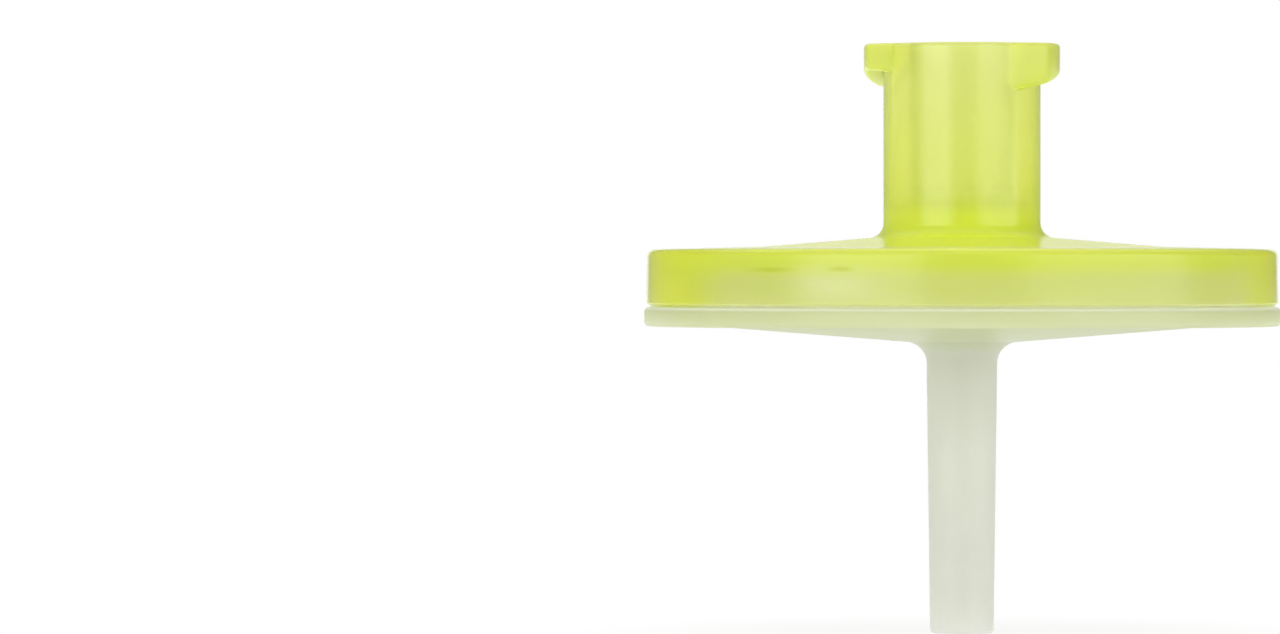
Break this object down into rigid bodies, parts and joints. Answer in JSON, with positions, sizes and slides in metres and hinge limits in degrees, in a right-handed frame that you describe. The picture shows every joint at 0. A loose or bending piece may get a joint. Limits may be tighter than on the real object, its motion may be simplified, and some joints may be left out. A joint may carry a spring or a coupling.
{
  "type": "syringe filter",
  "caption": "Disc-shaped syringe filter with a female Luer-lock inlet barrel, a membrane clamped in a welded plastic housing and a slim hollow outlet nozzle.",
  "frame": {"origin": "centre of the inlet's mouth, on the common axis, level with the collar's flat end face", "axes": "+Z along the axis, out of the inlet's mouth and against the flow; +X roughly along the line through the two lugs; +Y completes the right-handed frame"},
  "size_m": [0.0254, 0.0254, 0.0236],
  "materials": {
    "yellow_housing": "satin, translucent yellow-green polypropylene",
    "natural_housing": "satin, translucent natural polypropylene",
    "membrane": "matt white microporous membrane"
  },
  "bodies": {
    "root": {"inlet_housing": "yellow_housing", "outlet_housing": "natural_housing", "filter_membrane": "membrane"}
  },
  "joints": []
}
